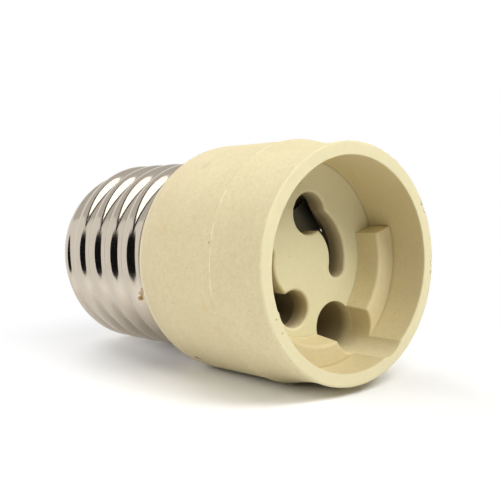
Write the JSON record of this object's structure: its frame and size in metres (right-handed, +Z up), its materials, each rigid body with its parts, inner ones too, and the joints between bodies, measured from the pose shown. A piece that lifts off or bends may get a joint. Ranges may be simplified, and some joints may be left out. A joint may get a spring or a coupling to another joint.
{
  "type": "lamp socket adapter",
  "caption": "Ceramic lamp socket adapter: a cup with twist-lock keyholes for a pin-base lamp, carried on a nickel-plated screw cap that fits a larger lamp holder.",
  "frame": {"origin": "on the axis, at the plane where the rim of the screw shell seats against the ceramic shoulder", "axes": "+X along the axis, out of the socket's mouth; +Z up, as the socket lies in the picture"},
  "size_m": [0.082, 0.045, 0.045],
  "materials": {
    "cream_ceramic": "unglazed, matt",
    "nickel_shell": "bright nickel plate",
    "black_glass": "opaque, glossy",
    "contact_metal": "nickel-plated strip",
    "spring_steel": "plain strip",
    "plate_ceramic": "unglazed, matt",
    "brown_cement": "rough",
    "sleeve_fibre": "braided",
    "lead_wire": "bare wire",
    "solder": "smooth"
  },
  "bodies": {
    "root": {"socket_body": "cream_ceramic", "screw_shell": "nickel_shell", "shell_cement": "brown_cement", "contact_plate": "plate_ceramic", "plate_cement": "brown_cement", "contact_rivets": "contact_metal", "lead_lugs": "contact_metal", "centre_lead": "lead_wire", "centre_lead_sleeve": "sleeve_fibre", "shell_lead": "lead_wire", "shell_lead_sleeve": "sleeve_fibre", "shell_solder": "solder", "cap_insulator": "black_glass", "centre_contact": "contact_metal", "centre_solder": "solder", "large_pin_contact": "contact_metal", "large_pin_spring": "spring_steel", "small_pin_contact": "contact_metal", "small_pin_spring": "spring_steel"}
  },
  "joints": []
}
